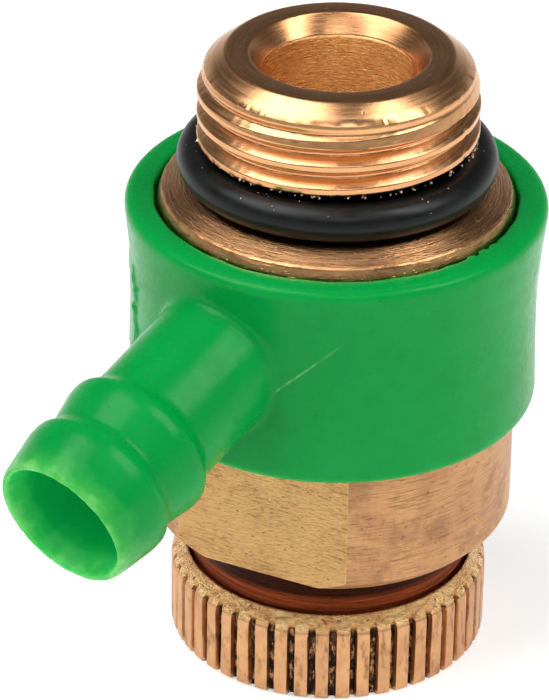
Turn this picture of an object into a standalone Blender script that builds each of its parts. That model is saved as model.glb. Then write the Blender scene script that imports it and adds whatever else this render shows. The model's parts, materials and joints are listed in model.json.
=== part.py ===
"""Automatic air vent with a swivelling drain collar, as separate solids.

Run with:  blender --background --python part.py

Frame: metres, +Z up along the screw thread's axis. The origin is the centre of the
knurled knob's flat end face. The collar's hose tail points along -Y at rest.
Nothing here touches: neighbouring pieces keep at least FIT_GAP between them.
"""
import math

import bmesh
import bpy
from mathutils import Matrix, Vector

MM = 0.001
FIT_GAP = 0.3                      # clearance between neighbouring solids, mm

# Overall heights above the knob's end face, mm
TOTAL_HEIGHT = 49.0
CHAMFER_END = 47.8
THREAD_FULL = 46.2                 # from here down the crests have their full size
THREAD_END = 42.35
FLANGE_TOP = 38.6
FLANGE_EDGE = 38.0
FLANGE_UNDERSIDE = 36.0
COLLAR_TOP = 37.4
COLLAR_BOTTOM = 21.2
WRENCH_TOP = COLLAR_BOTTOM - FIT_GAP
WRENCH_BOTTOM = 10.55
NECK_END = 3.0
KNOB_TOP = 7.0

# G 1/2 spigot
THREAD_R = 20.955 / 2
THREAD_LEAD_R = 9.95               # the chamfer's lower edge
THREAD_PITCH = 25.4 / 14
THREAD_DEPTH = 0.75
THREAD_CREST_SHARE = 0.42          # part of a pitch taken by the flat crest
THREAD_FLANK_SHARE = 0.22          # part of a pitch taken by each flank
THREAD_OFFSET_TURNS = 0.047
THREAD_ROWS_PER_PITCH = 6
THREAD_START = 47.2                # the thread's groove starts here
THREAD_START_LENGTH = 1.1          # and reaches its full depth over this height
END_FACE_R = 8.4
COUNTERSINK_R = 6.7
COUNTERSINK_DEPTH = 1.4
BORE_R = 5.6
RELIEF_R = 8.6                     # plain neck under the thread, where the O-ring sits

# Flange and collar journal of the stem
FLANGE_FLAT_R = 11.3
FLANGE_R = 13.05
FLANGE_FOOT_R = 13.35
FLANGE_FOOT_Z = 37.2
JOURNAL_R = 10.6
JOURNAL_BOTTOM = 21.4
SEAL_GROOVE_R = 9.1
SEAL_GROOVE_HALF = 0.8
UPPER_SEAL_Z = 34.1
LOWER_SEAL_Z = 24.3
WATER_GROOVE_R = 9.2
WATER_GROOVE_TOP = 32.5
WATER_GROOVE_BOTTOM = 27.5
PORT_R = 1.25
PORT_Z = 30.0
PORT_COUNT = 4
STEM_TAIL_R = 9.6
STEM_BOTTOM = 13.6

# Inside the stem
STRAINER_STEP_Z = 34.0
STRAINER_STEP_R = 4.3
PARTITION_TOP = 33.0
PARTITION_UNDERSIDE = 31.7
SEAT_LIP_Z = 31.0
SEAT_HOLE_R = 1.5
SEAT_NOZZLE_R = 2.6
CHAMBER_R = 4.6
GUIDE_BORE_R = 5.0
GUIDE_STEP_Z = 19.0
CLIP_GROOVE_R = 5.5
CLIP_GROOVE_TOP = 15.8
CLIP_GROOVE_BOTTOM = 14.5

# Swivel collar and its hose tail
COLLAR_BORE_R = JOURNAL_R + FIT_GAP
COUNTERBORE_R = 13.8
COUNTERBORE_FLOOR = FLANGE_UNDERSIDE - FIT_GAP
COLLAR_RIM_R = 15.8
COLLAR_FOOT_R = 15.45
COLLAR_RIM_ROUND = 0.6
COLLAR_FOOT_ROUND = 0.5
COLLAR_FLARE = ((15.46, 33.3), (15.29, 30.8), (15.25, 28.8), (15.3, 26.4))   # radius, height
TAIL_DROOP = math.radians(17.1)    # how far the hose tail points below level
TAIL_AXIS_Z = 33.93                # where the tail's centre line meets the main axis
TAIL_R = 5.2
TAIL_BARB_R = 6.0
TAIL_BARB_CREST = 0.8              # length of a barb's rounded crest
TAIL_BARB_RISE = 1.1               # length of its steep side
TAIL_NOSE_R = TAIL_R + 0.2         # the tube just ahead of each barb
TAIL_ROOT_S = 13.3                 # distances along the tail from the main axis
TAIL_BARB_1_S = 23.4
TAIL_BARB_2_S = 28.1
TAIL_END_S = 33.9
TAIL_BORE_R = 4.4
TAIL_LIP_R = 4.75                  # the bore flares to this at the mouth
TAIL_MOUTH_R = 5.25                # outside of the mouth's flat end face
TAIL_BORE_FLOOR_S = 17.5
TAIL_PASSAGE_R = 2.2
TAIL_PASSAGE_S = 10.0

# Wrench body and its neck
WRENCH_R = 13.95
WRENCH_ACROSS_FLATS = 24.2
WRENCH_TURN = math.radians(11.5)   # flats' turn about +Z from the -Y direction
WRENCH_CHAMFER = 1.0
NECK_R = 10.8
BODY_BORE_R = STEM_TAIL_R + FIT_GAP
BODY_LIP_TOP = 12.4
BODY_LIP_BOTTOM = 11.4
BODY_LIP_R = 6.0
DISC_CHAMBER_R = 8.7
KNOB_SEAL_Z = 4.4
KNOB_SEAL_GROOVE_R = 9.5

# Knurled knob
KNOB_R = 12.28
KNOB_SHOULDER_R = 11.25
KNOB_SHOULDER_DROP = 0.8
KNOB_EDGE = 0.25
KNOB_CAVITY_R = NECK_R + FIT_GAP
KNOB_FLOOR_Z = 2.1
KNOB_BOSS_R = 4.0
KNOB_BOSS_TOP = 2.9
KNURL_COUNT = 48
KNURL_SLOT_WIDTH = 0.55
KNURL_SLOT_DEPTH = 0.55
KNURL_TURN = math.radians(1.0)

# Rings and washers
SPIGOT_RING_TUBE_R = 1.5
SPIGOT_RING_R = 10.42
SPIGOT_RING_Z = 40.4
SEAL_TUBE_R = 0.6
SEAL_RING_R = 10.0
KNOB_SEAL_TUBE_R = 0.5
KNOB_SEAL_RING_R = 10.3

# Valve pin and its spring
PIN_CUP_R = 2.9
PIN_CUP_DEPTH = 0.7
PIN_CUP_BASE = 1.0
PIN_CUP_FLOOR = SEAT_LIP_Z - 1.6
PIN_SHANK_R = 1.2
PIN_FLANGE_R = 4.2
PIN_FLANGE_TOP = 23.7
PIN_FLANGE_BOTTOM = 22.7
PIN_GUIDED_R = 1.5
PIN_FOOT_R = 3.0
PIN_FOOT_TOP = 11.4
PIN_FOOT_BOTTOM = 10.4
PAD_R = 2.2
SPRING_R = 3.8
SPRING_WIRE_R = 0.35
SPRING_TURNS = 6
SPRING_POINTS_PER_TURN = 12

# Guide bush, strainer and their clips
GUIDE_LENGTH = 2.5
GUIDE_FLUTE_R = 1.4
GUIDE_FLUTE_COUNT = 3
STRAINER_THICKNESS = 0.5
STRAINER_HOLE_R = 0.55
STRAINER_RINGS = ((0.0, 1), (1.75, 6), (3.4, 12))   # radius, number of holes
CLIP_THICKNESS = 0.7
STRAINER_CLIP_INNER_R = 4.4
GUIDE_CLIP_INNER_R = 3.8
CLIP_OPENING = math.radians(45)
CLIP_STEPS = 20

# Fibre disc pack inside the neck
PACK_R = 8.3
PACK_TOP = 10.1
PLATE_THICKNESS = 0.8
DISC_THICKNESS = 0.7
DISC_HOLE_R = 1.5
DISC_COUNT = 5

# Facets around a full turn
ROUND_LARGE = 56
ROUND_STEM = 42
ROUND_TAIL = 28
ROUND_SEAL = 26
ROUND_SMALL = 20

BRASS = ("brass", (0.74, 0.50, 0.31), 0.32, 1.0)
GREEN_PLASTIC = ("green_plastic", (0.015, 0.40, 0.09), 0.38, 0.0)
RUBBER = ("black_rubber", (0.018, 0.018, 0.018), 0.55, 0.0)
SPRING_STEEL = ("spring_steel", (0.62, 0.62, 0.60), 0.30, 1.0)
FIBRE = ("pressed_fibre", (0.46, 0.30, 0.18), 0.85, 0.0)


def clear_scene():
    """Remove whatever objects the open file holds."""
    for obj in list(bpy.data.objects):
        bpy.data.objects.remove(obj, do_unlink=True)


def make_material(object_name, finish):
    """Principled material for one sub-part."""
    name, colour, roughness, metallic = finish
    material = bpy.data.materials.new(f"{object_name}_{name}")
    material.use_nodes = True
    shader = material.node_tree.nodes["Principled BSDF"]
    shader.inputs["Base Color"].default_value = (*colour, 1.0)
    shader.inputs["Roughness"].default_value = roughness
    shader.inputs["Metallic"].default_value = metallic
    material.diffuse_color = (*colour, 1.0)
    return material


def add_object(name, bm, finish, sharp_angle=math.radians(35)):
    """Turn a bmesh in millimetres into a named object in metres."""
    bmesh.ops.recalc_face_normals(bm, faces=bm.faces[:])
    bmesh.ops.scale(bm, vec=(MM, MM, MM), verts=bm.verts[:])
    mesh = bpy.data.meshes.new(name)
    bm.to_mesh(mesh)
    bm.free()
    obj = bpy.data.objects.new(name, mesh)
    bpy.context.collection.objects.link(obj)
    if finish is not None:
        mesh.materials.append(make_material(name, finish))
        mesh.shade_smooth()
        mesh.set_sharp_from_angle(angle=sharp_angle)
    return obj


def turned(profile, segments):
    """Closed solid of revolution about Z from a closed (radius, height) outline."""
    bm = bmesh.new()
    verts = [bm.verts.new((radius, 0.0, height)) for radius, height in profile]
    edges = []
    for start, end in zip(verts, verts[1:] + verts[:1]):
        on_axis = start.co.x == 0.0 and end.co.x == 0.0
        if not on_axis:
            edges.append(bm.edges.new((start, end)))
    bmesh.ops.spin(
        bm, geom=verts + edges, cent=(0, 0, 0), axis=(0, 0, 1),
        angle=math.tau, steps=segments, use_merge=True)
    bmesh.ops.remove_doubles(bm, verts=bm.verts[:], dist=1e-4)
    return bm


def arc(centre, radius, start_deg, end_deg, steps):
    """Points of a circular arc in the (radius, height) plane."""
    points = []
    for step in range(steps + 1):
        angle = math.radians(start_deg + (end_deg - start_deg) * step / steps)
        points.append((centre[0] + radius * math.cos(angle), centre[1] + radius * math.sin(angle)))
    return points


def ring_profile(inner, outer, bottom, top):
    """Rectangular section of a flat ring."""
    return [(outer, top), (outer, bottom), (inner, bottom), (inner, top)]


def along_tail(bm):
    """Lay a solid that was turned about +Z along the hose tail's centre line."""
    lay = Matrix.Rotation(math.radians(90) + TAIL_DROOP, 4, "X")
    place = Matrix.Translation((0.0, 0.0, TAIL_AXIS_Z))
    bmesh.ops.transform(bm, matrix=place @ lay, verts=bm.verts[:])


def cutter(name, bm):
    """Hidden wire object that a Boolean uses."""
    obj = add_object(name, bm, None)
    obj.hide_render = True
    obj.display_type = "WIRE"
    return obj


def boolean(target, tool, operation):
    """Leave an exact Boolean modifier on the target."""
    modifier = target.modifiers.new(f"{operation.lower()}_{tool.name}", "BOOLEAN")
    modifier.operation = operation
    modifier.solver = "EXACT"
    modifier.object = tool
    return modifier


def thread_envelope(height):
    """Radius of the blank that the thread is cut in: it tapers towards the chamfer."""
    share = (height - THREAD_FULL) / (CHAMFER_END - THREAD_FULL)
    return THREAD_R + (THREAD_LEAD_R - THREAD_R) * max(0.0, share)


def thread_cut(height, angle):
    """Depth of the spigot's right-hand thread at a height and an angle."""
    turns = (height - THREAD_END) / THREAD_PITCH - angle / math.tau + THREAD_OFFSET_TURNS
    phase = turns % 1.0
    flank = THREAD_FLANK_SHARE
    crest_end = flank + THREAD_CREST_SHARE
    share = 1.0
    if phase < flank:
        share = 1.0 - phase / flank
    elif phase < crest_end:
        share = 0.0
    elif phase < crest_end + flank:
        share = (phase - crest_end) / flank
    started = (THREAD_START - height) / THREAD_START_LENGTH
    return THREAD_DEPTH * share * min(1.0, max(0.0, started))


def cut_thread(bm):
    """Press the helical thread into the spigot's outer rows, below its tapered start."""
    for vert in bm.verts:
        radius = math.hypot(vert.co.x, vert.co.y)
        in_thread = THREAD_END < vert.co.z < CHAMFER_END and radius > RELIEF_R + FIT_GAP
        if in_thread:
            angle = math.atan2(vert.co.y, vert.co.x)
            cut_radius = THREAD_R - thread_cut(vert.co.z, angle)
            scale = min(radius, cut_radius) / radius
            vert.co.x *= scale
            vert.co.y *= scale


def spigot_profile():
    """Outer outline from the end face down to the flange's underside."""
    rows = round((CHAMFER_END - THREAD_END) / THREAD_PITCH * THREAD_ROWS_PER_PITCH)
    points = [(END_FACE_R, TOTAL_HEIGHT)]
    for row in range(rows + 1):
        height = CHAMFER_END + (THREAD_END - CHAMFER_END) * row / rows
        points.append((thread_envelope(height), height))
    points += [
        (RELIEF_R, THREAD_END - 0.5), (RELIEF_R, FLANGE_TOP),
        (FLANGE_FLAT_R, FLANGE_TOP), (FLANGE_R, FLANGE_EDGE),
        (FLANGE_FOOT_R, FLANGE_FOOT_Z), (FLANGE_FOOT_R, FLANGE_UNDERSIDE)]
    return points


def groove(outer, floor, top, bottom):
    """Square groove in a shaft, from its upper corner to its lower one."""
    return [(outer, top), (floor, top), (floor, bottom), (outer, bottom)]


def journal_profile():
    """Outer outline of the journal with its two seal grooves and water groove."""
    points = [(JOURNAL_R, FLANGE_UNDERSIDE)]
    points += groove(
        JOURNAL_R, SEAL_GROOVE_R, UPPER_SEAL_Z + SEAL_GROOVE_HALF, UPPER_SEAL_Z - SEAL_GROOVE_HALF)
    points += groove(JOURNAL_R, WATER_GROOVE_R, WATER_GROOVE_TOP, WATER_GROOVE_BOTTOM)
    points += groove(
        JOURNAL_R, SEAL_GROOVE_R, LOWER_SEAL_Z + SEAL_GROOVE_HALF, LOWER_SEAL_Z - SEAL_GROOVE_HALF)
    points += [(JOURNAL_R, JOURNAL_BOTTOM), (STEM_TAIL_R, JOURNAL_BOTTOM), (STEM_TAIL_R, STEM_BOTTOM)]
    return points


def stem_bore_profile():
    """Inner outline from the stem's lower end up to the countersink."""
    return [
        (GUIDE_BORE_R, STEM_BOTTOM), (GUIDE_BORE_R, CLIP_GROOVE_BOTTOM),
        (CLIP_GROOVE_R, CLIP_GROOVE_BOTTOM), (CLIP_GROOVE_R, CLIP_GROOVE_TOP),
        (GUIDE_BORE_R, CLIP_GROOVE_TOP), (GUIDE_BORE_R, GUIDE_STEP_Z),
        (CHAMBER_R, GUIDE_STEP_Z), (CHAMBER_R, PARTITION_UNDERSIDE),
        (SEAT_NOZZLE_R, PARTITION_UNDERSIDE), (SEAT_NOZZLE_R, SEAT_LIP_Z),
        (SEAT_HOLE_R, SEAT_LIP_Z), (SEAT_HOLE_R, PARTITION_TOP),
        (STRAINER_STEP_R, PARTITION_TOP), (STRAINER_STEP_R, STRAINER_STEP_Z),
        (BORE_R, STRAINER_STEP_Z), (BORE_R, TOTAL_HEIGHT - COUNTERSINK_DEPTH),
        (COUNTERSINK_R, TOTAL_HEIGHT)]


def build_inlet_stem():
    """Threaded spigot, flange, collar journal and valve seat, turned from one bar."""
    bm = turned(spigot_profile() + journal_profile() + stem_bore_profile(), ROUND_STEM)
    cut_thread(bm)
    stem = add_object("inlet_stem", bm, BRASS)
    mid_wall_r = (CHAMBER_R + JOURNAL_R) / 2
    ports = bmesh.new()
    for index in range(PORT_COUNT):
        turn = Matrix.Rotation(math.tau * (index + 0.5) / PORT_COUNT, 4, "Z")
        lay = Matrix.Rotation(math.radians(90), 4, "Y")
        place = Matrix.Translation((mid_wall_r, 0.0, PORT_Z)) @ lay
        bmesh.ops.create_cone(
            ports, cap_ends=True, segments=16, radius1=PORT_R, radius2=PORT_R,
            depth=JOURNAL_R - CHAMBER_R + 1.0, matrix=turn @ place)
    boolean(stem, cutter("cut_water_ports", ports), "DIFFERENCE")
    return stem


def collar_profile():
    """Section of the collar: flared rim, waist and slightly wider foot."""
    rim_centre = (COLLAR_RIM_R - COLLAR_RIM_ROUND, COLLAR_TOP - COLLAR_RIM_ROUND)
    rim = arc(rim_centre, COLLAR_RIM_ROUND, 90, 0, 3)
    foot_centre = (COLLAR_FOOT_R - COLLAR_FOOT_ROUND, COLLAR_BOTTOM + COLLAR_FOOT_ROUND)
    foot = arc(foot_centre, COLLAR_FOOT_ROUND, 0, -90, 3)
    inside = [
        (COLLAR_BORE_R, COLLAR_BOTTOM), (COLLAR_BORE_R, COUNTERBORE_FLOOR),
        (COUNTERBORE_R, COUNTERBORE_FLOOR), (COUNTERBORE_R, COLLAR_TOP)]
    return rim + list(COLLAR_FLARE) + foot + inside


def tail_profile():
    """Outline of the hose tail: plain root, two barbs and a rounded mouth."""
    points = [(0.0, TAIL_ROOT_S), (TAIL_R, TAIL_ROOT_S), (TAIL_R, TAIL_BARB_1_S)]
    for start in (TAIL_BARB_1_S, TAIL_BARB_2_S):
        if start > TAIL_BARB_1_S:
            points.append((TAIL_NOSE_R, start))
        points.append((TAIL_BARB_R, start + TAIL_BARB_RISE))
        points.append((TAIL_BARB_R, start + TAIL_BARB_RISE + TAIL_BARB_CREST))
    points += [
        (TAIL_NOSE_R, TAIL_END_S - 0.8), (TAIL_NOSE_R - 0.05, TAIL_END_S - 0.2),
        (TAIL_MOUTH_R, TAIL_END_S), (0.0, TAIL_END_S)]
    return points


def tail_bore_profile():
    """Stepped bore: flared mouth, wide tube, narrow passage through the collar's wall."""
    past_end = 1.0
    flare = 0.6
    return [
        (0.0, TAIL_PASSAGE_S), (TAIL_PASSAGE_R, TAIL_PASSAGE_S),
        (TAIL_PASSAGE_R, TAIL_BORE_FLOOR_S), (TAIL_BORE_R, TAIL_BORE_FLOOR_S),
        (TAIL_BORE_R, TAIL_END_S - flare), (TAIL_LIP_R, TAIL_END_S),
        (TAIL_LIP_R, TAIL_END_S + past_end), (0.0, TAIL_END_S + past_end)]


def build_swivel_collar():
    """Moulded collar that turns on the journal, with its hose tail in one piece."""
    collar = add_object("swivel_collar", turned(collar_profile(), ROUND_LARGE), GREEN_PLASTIC)
    tail = turned(tail_profile(), ROUND_TAIL)
    along_tail(tail)
    boolean(collar, cutter("add_hose_tail", tail), "UNION")
    bore = turned(tail_bore_profile(), ROUND_TAIL)
    along_tail(bore)
    boolean(collar, cutter("cut_tail_bore", bore), "DIFFERENCE")
    return collar


def wrench_body_profile():
    """Section of the lower body with its neck, before the flats are cut."""
    seal_top = KNOB_SEAL_Z + SEAL_GROOVE_HALF
    seal_bottom = KNOB_SEAL_Z - SEAL_GROOVE_HALF
    return [
        (BODY_BORE_R, WRENCH_TOP), (WRENCH_R, WRENCH_TOP),
        (WRENCH_R, WRENCH_BOTTOM + WRENCH_CHAMFER), (WRENCH_R - 0.35, WRENCH_BOTTOM + 0.35),
        (WRENCH_R - WRENCH_CHAMFER, WRENCH_BOTTOM), (NECK_R, WRENCH_BOTTOM),
        *groove(NECK_R, KNOB_SEAL_GROOVE_R, seal_top, seal_bottom),
        (NECK_R, NECK_END), (DISC_CHAMBER_R, NECK_END), (DISC_CHAMBER_R, BODY_LIP_BOTTOM),
        (BODY_LIP_R, BODY_LIP_BOTTOM), (BODY_LIP_R, BODY_LIP_TOP), (BODY_BORE_R, BODY_LIP_TOP)]


def build_wrench_body():
    """Round brass body with two wrench flats, screwed up under the collar."""
    body = add_object("wrench_body", turned(wrench_body_profile(), ROUND_LARGE), BRASS)
    flats = bmesh.new()
    width = 2 * WRENCH_R
    for side in (-1, 1):
        centre = Vector((0.0, side * (WRENCH_ACROSS_FLATS / 2 + width / 2), WRENCH_BOTTOM + 4.0))
        turn = Matrix.Rotation(WRENCH_TURN, 4, "Z")
        size = Matrix.Diagonal((width, width, width, 1.0))
        bmesh.ops.create_cube(flats, size=1.0, matrix=turn @ Matrix.Translation(centre) @ size)
    boolean(body, cutter("cut_wrench_flats", flats), "DIFFERENCE")
    return body


def build_knob():
    """Knurled cap that screws on the neck and carries the disc pack."""
    profile = [
        (0.0, 0.0), (KNOB_R - KNOB_EDGE, 0.0), (KNOB_R, KNOB_EDGE),
        (KNOB_R, KNOB_TOP - KNOB_SHOULDER_DROP), (KNOB_SHOULDER_R, KNOB_TOP),
        (KNOB_CAVITY_R, KNOB_TOP), (KNOB_CAVITY_R, KNOB_FLOOR_Z), (KNOB_BOSS_R, KNOB_FLOOR_Z),
        (KNOB_BOSS_R, KNOB_BOSS_TOP), (0.0, KNOB_BOSS_TOP)]
    knob = add_object("knob", turned(profile, ROUND_LARGE), BRASS)
    slots = bmesh.new()
    floor_r = KNOB_R - KNURL_SLOT_DEPTH
    cutter_depth = 4 * KNURL_SLOT_DEPTH
    for index in range(KNURL_COUNT):
        turn = Matrix.Rotation(KNURL_TURN + math.tau * index / KNURL_COUNT, 4, "Z")
        place = Matrix.Translation((floor_r + cutter_depth / 2, 0.0, KNOB_TOP / 2))
        size = Matrix.Diagonal((cutter_depth, KNURL_SLOT_WIDTH, 2 * KNOB_TOP, 1.0))
        bmesh.ops.create_cube(slots, size=1.0, matrix=turn @ place @ size)
    boolean(knob, cutter("cut_knurl_slots", slots), "DIFFERENCE")
    return knob


def build_ring(name, ring_r, tube_r, height, around, across):
    """Round-section rubber ring."""
    profile = arc((ring_r, height), tube_r, 0, 360 - 360 / across, across - 1)
    return add_object(name, turned(profile, around), RUBBER)


def build_rings():
    """The visible spigot O-ring and the hidden sliding seals."""
    build_ring("spigot_o_ring", SPIGOT_RING_R, SPIGOT_RING_TUBE_R, SPIGOT_RING_Z, ROUND_STEM, 10)
    build_ring("collar_seal_upper", SEAL_RING_R, SEAL_TUBE_R, UPPER_SEAL_Z, ROUND_SEAL, 6)
    build_ring("collar_seal_lower", SEAL_RING_R, SEAL_TUBE_R, LOWER_SEAL_Z, ROUND_SEAL, 6)
    build_ring("knob_seal", KNOB_SEAL_RING_R, KNOB_SEAL_TUBE_R, KNOB_SEAL_Z, ROUND_SEAL, 6)
    gasket_top = STEM_BOTTOM - FIT_GAP
    gasket = ring_profile(BODY_LIP_R + 0.5, BODY_BORE_R - 0.4, BODY_LIP_TOP + FIT_GAP, gasket_top)
    add_object("body_gasket", turned(gasket, ROUND_SMALL), FIBRE)


def build_valve_pin():
    """Push pin: cup for the pad, spring flange, guided shank and foot."""
    cup_rim = PIN_CUP_FLOOR + PIN_CUP_DEPTH
    cup_underside = PIN_CUP_FLOOR - PIN_CUP_BASE
    profile = [
        (0.0, PIN_CUP_FLOOR), (PAD_R + FIT_GAP, PIN_CUP_FLOOR), (PAD_R + FIT_GAP, cup_rim),
        (PIN_CUP_R, cup_rim), (PIN_CUP_R, cup_underside), (PIN_SHANK_R, cup_underside),
        (PIN_SHANK_R, PIN_FLANGE_TOP), (PIN_FLANGE_R, PIN_FLANGE_TOP),
        (PIN_FLANGE_R, PIN_FLANGE_BOTTOM), (PIN_GUIDED_R, PIN_FLANGE_BOTTOM),
        (PIN_GUIDED_R, PIN_FOOT_TOP), (PIN_FOOT_R, PIN_FOOT_TOP),
        (PIN_FOOT_R, PIN_FOOT_BOTTOM), (0.0, PIN_FOOT_BOTTOM)]
    add_object("valve_pin", turned(profile, ROUND_SMALL), BRASS)
    pad_bottom = PIN_CUP_FLOOR + FIT_GAP
    pad_top = SEAT_LIP_Z - FIT_GAP
    pad = [(0.0, pad_top), (PAD_R, pad_top), (PAD_R, pad_bottom), (0.0, pad_bottom)]
    add_object("valve_pad", turned(pad, ROUND_SMALL), RUBBER)


def build_opening_spring():
    """Coil spring that pushes the pin off its seat, as a bevelled curve."""
    bottom = PIN_FLANGE_TOP + FIT_GAP + SPRING_WIRE_R
    top = PARTITION_UNDERSIDE - FIT_GAP - SPRING_WIRE_R
    count = SPRING_TURNS * SPRING_POINTS_PER_TURN
    curve = bpy.data.curves.new("opening_spring", "CURVE")
    curve.dimensions = "3D"
    curve.bevel_depth = SPRING_WIRE_R * MM
    curve.bevel_resolution = 1
    curve.use_fill_caps = True
    spline = curve.splines.new("POLY")
    spline.points.add(count)
    for index, point in enumerate(spline.points):
        angle = math.tau * index / SPRING_POINTS_PER_TURN
        height = bottom + (top - bottom) * index / count
        point.co = (
            SPRING_R * math.cos(angle) * MM, SPRING_R * math.sin(angle) * MM, height * MM, 1.0)
    curve.materials.append(make_material("opening_spring", SPRING_STEEL))
    spring = bpy.data.objects.new("opening_spring", curve)
    bpy.context.collection.objects.link(spring)
    return spring


def build_pin_guide():
    """Fluted bush that steadies the pin and lets water past to the discs."""
    top = GUIDE_STEP_Z - FIT_GAP
    bottom = top - GUIDE_LENGTH
    profile = ring_profile(PIN_GUIDED_R + FIT_GAP, GUIDE_BORE_R - FIT_GAP, bottom, top)
    guide = add_object("pin_guide", turned(profile, ROUND_SEAL), BRASS)
    flutes = bmesh.new()
    for index in range(GUIDE_FLUTE_COUNT):
        turn = Matrix.Rotation(math.tau * index / GUIDE_FLUTE_COUNT, 4, "Z")
        place = turn @ Matrix.Translation((GUIDE_BORE_R, 0.0, (bottom + top) / 2))
        bmesh.ops.create_cone(
            flutes, cap_ends=True, segments=12, radius1=GUIDE_FLUTE_R, radius2=GUIDE_FLUTE_R,
            depth=2 * GUIDE_LENGTH, matrix=place)
    boolean(guide, cutter("cut_guide_flutes", flutes), "DIFFERENCE")
    return guide


def build_open_clip(name, inner, outer, bottom):
    """Flat spring clip with a gap, as a swept rectangular section."""
    bm = bmesh.new()
    turn = Matrix.Rotation(CLIP_OPENING / 2, 4, "Z")
    corners = []
    for radius, height in ring_profile(inner, outer, bottom, bottom + CLIP_THICKNESS):
        corners.append(bm.verts.new(turn @ Vector((radius, 0.0, height))))
    section = bm.faces.new(corners)
    bmesh.ops.spin(
        bm, geom=section.edges[:], cent=(0, 0, 0), axis=(0, 0, 1),
        angle=math.tau - CLIP_OPENING, steps=CLIP_STEPS)
    bmesh.ops.holes_fill(bm, edges=[edge for edge in bm.edges if edge.is_boundary])
    return add_object(name, bm, SPRING_STEEL)


def build_strainer():
    """Perforated strainer disc in the inlet and the clip that keeps it down."""
    bottom = STRAINER_STEP_Z + FIT_GAP
    top = bottom + STRAINER_THICKNESS
    radius = BORE_R - FIT_GAP
    disc = turned([(0.0, top), (radius, top), (radius, bottom), (0.0, bottom)], ROUND_SEAL)
    strainer = add_object("inlet_strainer", disc, SPRING_STEEL)
    holes = bmesh.new()
    for ring, count in STRAINER_RINGS:
        for index in range(count):
            turn = Matrix.Rotation(math.tau * index / count, 4, "Z")
            place = turn @ Matrix.Translation((ring, 0.0, (bottom + top) / 2))
            bmesh.ops.create_cone(
                holes, cap_ends=True, segments=8, radius1=STRAINER_HOLE_R,
                radius2=STRAINER_HOLE_R, depth=3 * STRAINER_THICKNESS, matrix=place)
    boolean(strainer, cutter("cut_strainer_holes", holes), "DIFFERENCE")
    build_open_clip("strainer_clip", STRAINER_CLIP_INNER_R, radius, top + FIT_GAP)


def build_disc_pack():
    """Pressure washer, fibre discs and the plate that carries them."""
    top = PACK_TOP
    underside = top - PLATE_THICKNESS
    washer = [(0.0, top), (PACK_R, top), (PACK_R, underside), (0.0, underside)]
    add_object("pressure_washer", turned(washer, ROUND_SMALL), SPRING_STEEL)
    top = underside - FIT_GAP
    for number in range(1, DISC_COUNT + 1):
        section = ring_profile(DISC_HOLE_R, PACK_R, top - DISC_THICKNESS, top)
        add_object(f"fibre_disc_{number}", turned(section, ROUND_SMALL), FIBRE)
        top -= DISC_THICKNESS + FIT_GAP
    section = ring_profile(DISC_HOLE_R, PACK_R, top - PLATE_THICKNESS, top)
    add_object("disc_plate", turned(section, ROUND_SMALL), SPRING_STEEL)


def main():
    clear_scene()
    build_inlet_stem()
    build_swivel_collar()
    build_wrench_body()
    build_knob()
    build_rings()
    build_valve_pin()
    build_opening_spring()
    build_pin_guide()
    build_open_clip(
        "guide_clip", GUIDE_CLIP_INNER_R, CLIP_GROOVE_R - FIT_GAP, CLIP_GROOVE_BOTTOM + FIT_GAP)
    build_strainer()
    build_disc_pack()


main()
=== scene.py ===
"""Looks of the automatic air vent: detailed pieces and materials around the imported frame.

Shapes are worked out in millimetres in the row frame (+Z up the spigot's axis, hose tail
towards -Y) and scaled to metres when a mesh is made.
"""

import json
import math

import bmesh
import bpy
import numpy as np
from mathutils import Matrix, Vector


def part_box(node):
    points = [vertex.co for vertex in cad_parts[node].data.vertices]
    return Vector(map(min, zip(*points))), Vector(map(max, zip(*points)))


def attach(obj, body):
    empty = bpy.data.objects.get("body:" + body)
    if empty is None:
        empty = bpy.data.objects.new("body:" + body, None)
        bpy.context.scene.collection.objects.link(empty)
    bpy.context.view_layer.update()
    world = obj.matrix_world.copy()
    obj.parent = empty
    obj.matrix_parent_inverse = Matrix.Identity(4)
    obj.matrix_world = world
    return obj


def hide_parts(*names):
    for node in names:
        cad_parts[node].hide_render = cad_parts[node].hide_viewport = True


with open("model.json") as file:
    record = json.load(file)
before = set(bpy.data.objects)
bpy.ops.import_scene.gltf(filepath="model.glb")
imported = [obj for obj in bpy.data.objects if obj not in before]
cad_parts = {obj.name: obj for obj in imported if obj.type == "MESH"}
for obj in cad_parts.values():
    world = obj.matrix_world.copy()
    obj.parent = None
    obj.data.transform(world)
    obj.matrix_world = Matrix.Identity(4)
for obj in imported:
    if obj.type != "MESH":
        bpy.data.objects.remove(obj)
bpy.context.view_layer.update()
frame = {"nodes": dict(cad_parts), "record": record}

MM = 0.001


def heights(node):
    """Lowest and highest point of a CAD node, mm."""
    low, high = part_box(node)
    return low.z / MM, high.z / MM


def half_width(node):
    """Half of a CAD node's extent along X, mm."""
    low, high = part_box(node)
    return (high.x - low.x) / 2 / MM


# Heights and radii read from the frame
STEM_BOTTOM, STEM_TOP = heights("inlet_stem")
COLLAR_TOP = heights("swivel_collar")[1]
BODY_NECK_END, BODY_TOP = heights("wrench_body")
KNOB_TOP = heights("knob")[1]
FLANGE_FOOT_R = half_width("inlet_stem")
COLLAR_RIM_R = half_width("swivel_collar")
BODY_R = half_width("wrench_body")
KNOB_R = half_width("knob")
RING_LOW, RING_HIGH = heights("spigot_o_ring")
RING_TUBE_R = (RING_HIGH - RING_LOW) / 2
RING_R = half_width("spigot_o_ring") - RING_TUBE_R
RING_Z = (RING_HIGH + RING_LOW) / 2

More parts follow.
